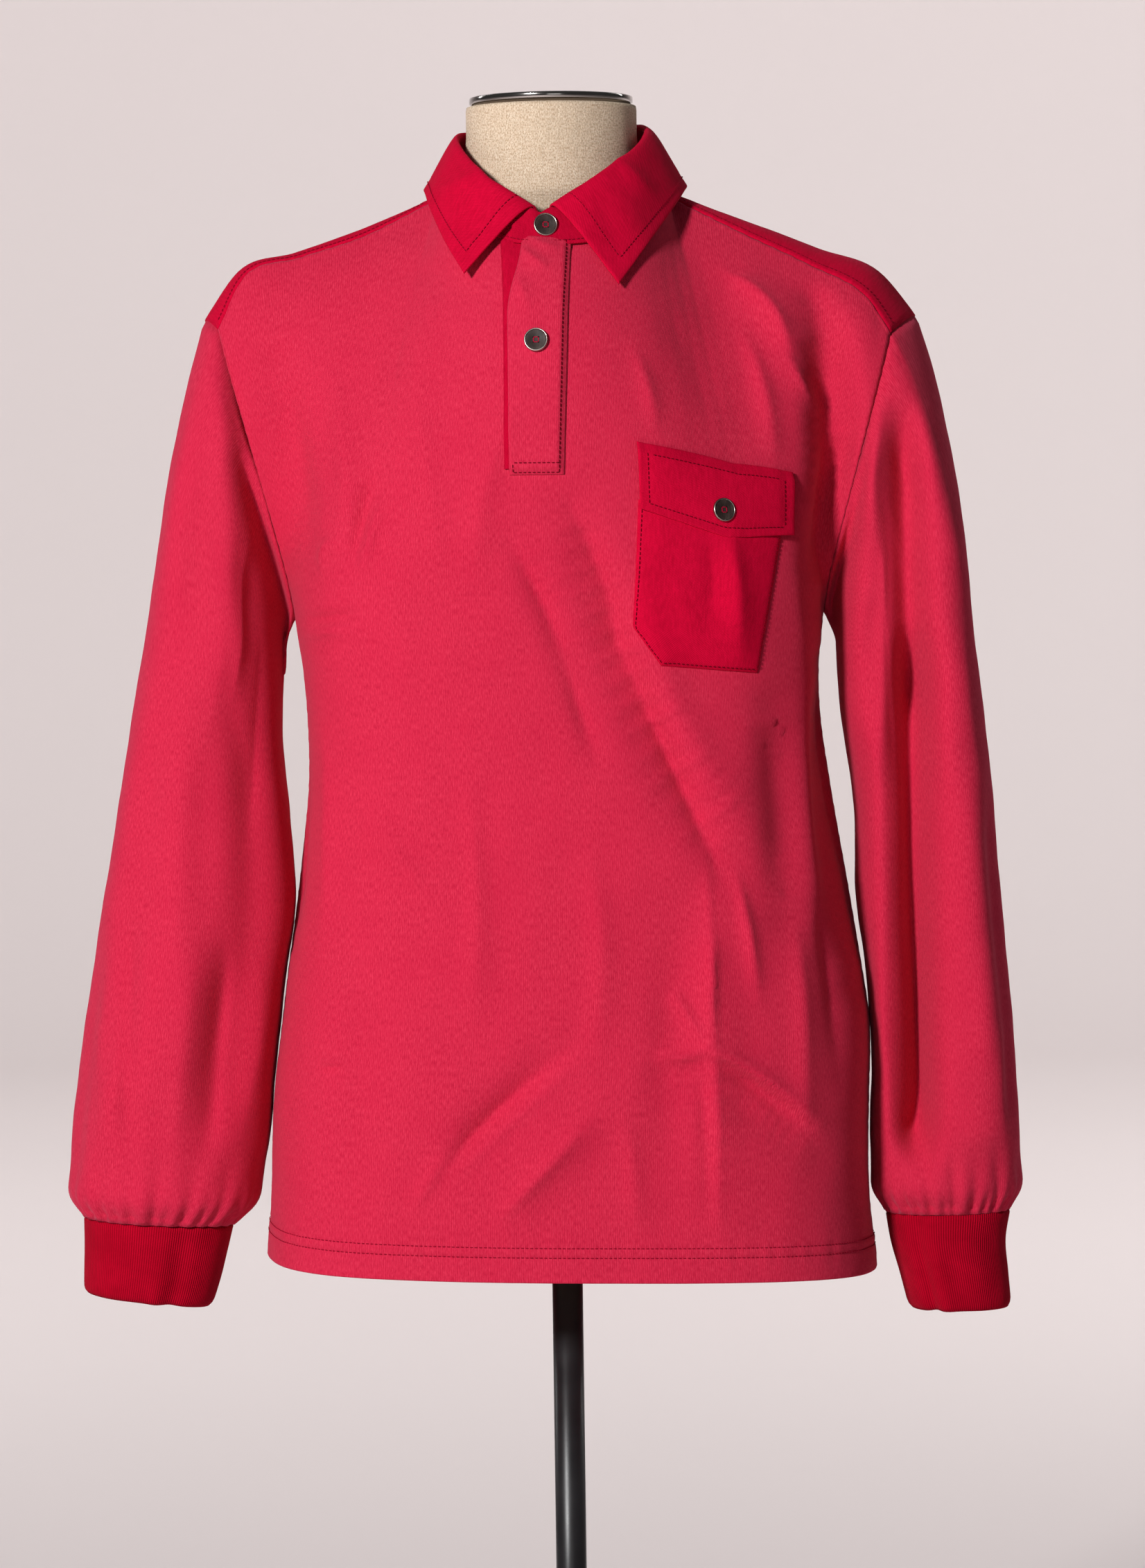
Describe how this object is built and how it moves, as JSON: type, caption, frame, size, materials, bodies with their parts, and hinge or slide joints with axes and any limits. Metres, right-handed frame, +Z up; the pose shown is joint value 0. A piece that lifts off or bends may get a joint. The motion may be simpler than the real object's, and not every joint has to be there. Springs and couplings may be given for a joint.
{
  "type": "polo shirt on dress form",
  "caption": "Long-sleeved polo shirt with collar, placket, flap pocket and ribbed cuffs, worn by a limbless dress form on a stand with a round foot.",
  "frame": {"origin": "middle of the underside of the stand's round foot, on the floor", "axes": "+Z up along the pole and the shirt's height, -Y the way the shirt's front faces, +X the viewer's right from the front, which is the wearer's left"},
  "size_m": [0.6534, 0.34, 1.45],
  "materials": {
    "jersey": "brushed cotton jersey, soft nap",
    "twill": "dense cotton twill, matte",
    "rib": "fine rib knit, matte",
    "button_face": "dark horn-like plastic with a silver rim",
    "linen": "plain woven natural linen",
    "bright_metal": "polished",
    "black_steel": "satin black"
  },
  "bodies": {
    "root": {"front": "jersey", "back": "jersey", "sleeve_left": "jersey", "sleeve_right": "jersey", "placket_top": "jersey", "yoke": "twill", "collar_stand": "twill", "collar_leaf": "twill", "placket_under": "twill", "pocket": "twill", "pocket_flap": "twill", "cuff_left": "rib", "cuff_right": "rib", "button_stand": "button_face", "button_placket": "button_face", "button_pocket": "button_face", "form_torso": "linen", "neck_cap": "bright_metal", "pole_collar": "black_steel", "pole": "black_steel", "base": "black_steel"}
  },
  "joints": []
}
